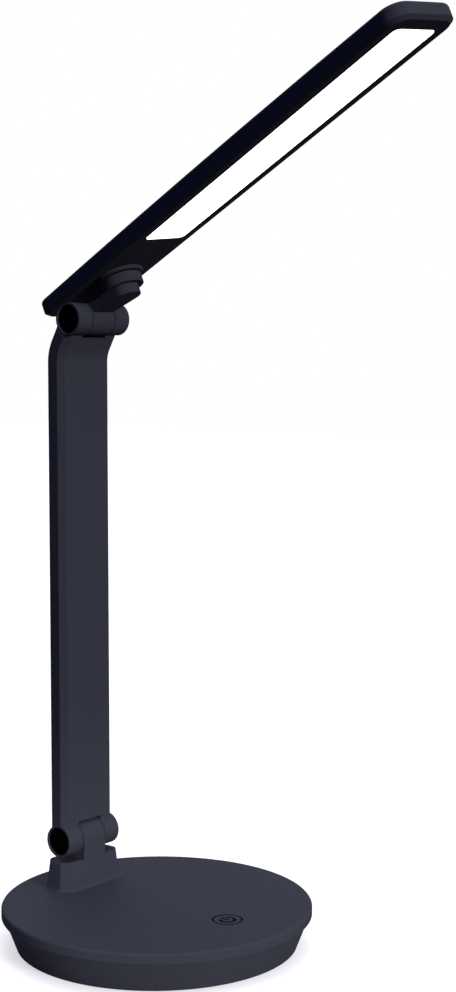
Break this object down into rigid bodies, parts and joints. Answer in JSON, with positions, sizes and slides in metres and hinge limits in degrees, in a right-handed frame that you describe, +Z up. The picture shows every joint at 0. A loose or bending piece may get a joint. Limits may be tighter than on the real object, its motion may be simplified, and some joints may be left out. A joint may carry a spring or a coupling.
{
  "type": "table lamp",
  "caption": "LED table lamp: round weighted base with touch switch, flat arm on friction hinges, and a slim bar head that tilts and swivels, with a lit panel on its underside.",
  "frame": {"origin": "centre of the base's underside, on the face the lamp rests on", "axes": "+Z up, X along the hinges' pins, -Y the front, over which the head reaches; the rest pose is the pictured one"},
  "size_m": [0.16, 0.2751, 0.4483],
  "materials": {
    "shell_plastic": "fine matte",
    "cap_plastic": "matte",
    "opal_panel": "opal, lit from behind",
    "pad_foam": "foam",
    "plain_steel": "zinc plated",
    "slip_plastic": "black acetal",
    "board_laminate": "solder mask",
    "board_aluminium": "white solder mask",
    "part_plastic": "moulded",
    "led_resin": "phosphor resin",
    "lead_sheath": "sheath"
  },
  "bodies": {
    "base": {"base_cover": "shell_plastic", "base_tub": "shell_plastic", "anti_slip_pad": "pad_foam", "ballast_plate": "plain_steel", "base_screws": "plain_steel", "control_board": "board_laminate", "board_components": "part_plastic", "board_screws": "plain_steel", "touch_sensor_pad": "pad_foam", "dc_inlet": "part_plastic", "inlet_contact": "plain_steel", "supply_lead": "lead_sheath", "output_lead": "lead_sheath"},
    "arm": {"arm_shell": "shell_plastic", "arm_rear_cover": "shell_plastic", "arm_lead": "lead_sheath", "lower_hinge_bolt": "plain_steel", "lower_hinge_nut": "plain_steel", "lower_hinge_washers": "slip_plastic", "lower_hinge_caps": "cap_plastic", "upper_hinge_bolt": "plain_steel", "upper_hinge_nut": "plain_steel", "upper_hinge_washers": "slip_plastic", "upper_hinge_caps": "cap_plastic"},
    "bracket": {"swivel_bracket": "shell_plastic", "swivel_bolt": "plain_steel", "swivel_slip_washer": "slip_plastic", "swivel_spring_washer": "plain_steel"},
    "head": {"head_bezel": "shell_plastic", "head_cover": "shell_plastic", "diffuser": "opal_panel", "led_board": "board_aluminium", "led_chips": "led_resin", "led_connector": "part_plastic", "head_lead": "lead_sheath"}
  },
  "joints": [
    {"name": "lower_hinge", "type": "hinge", "parent": "base", "child": "arm", "pos_m": [0, 0.0528, 0.0466], "axis": [1, 0, 0], "range_deg": [-20, 40]},
    {"name": "upper_hinge", "type": "hinge", "parent": "arm", "child": "bracket", "pos_m": [0, 0.04487, 0.32025], "axis": [1, 0, 0], "range_deg": [-40, 50]},
    {"name": "swivel", "type": "hinge", "parent": "bracket", "child": "head", "pos_m": [0, 0.02611, 0.34278], "axis": [0, 0.4067, 0.9135], "range_deg": [-77.8, 102.2]}
  ]
}
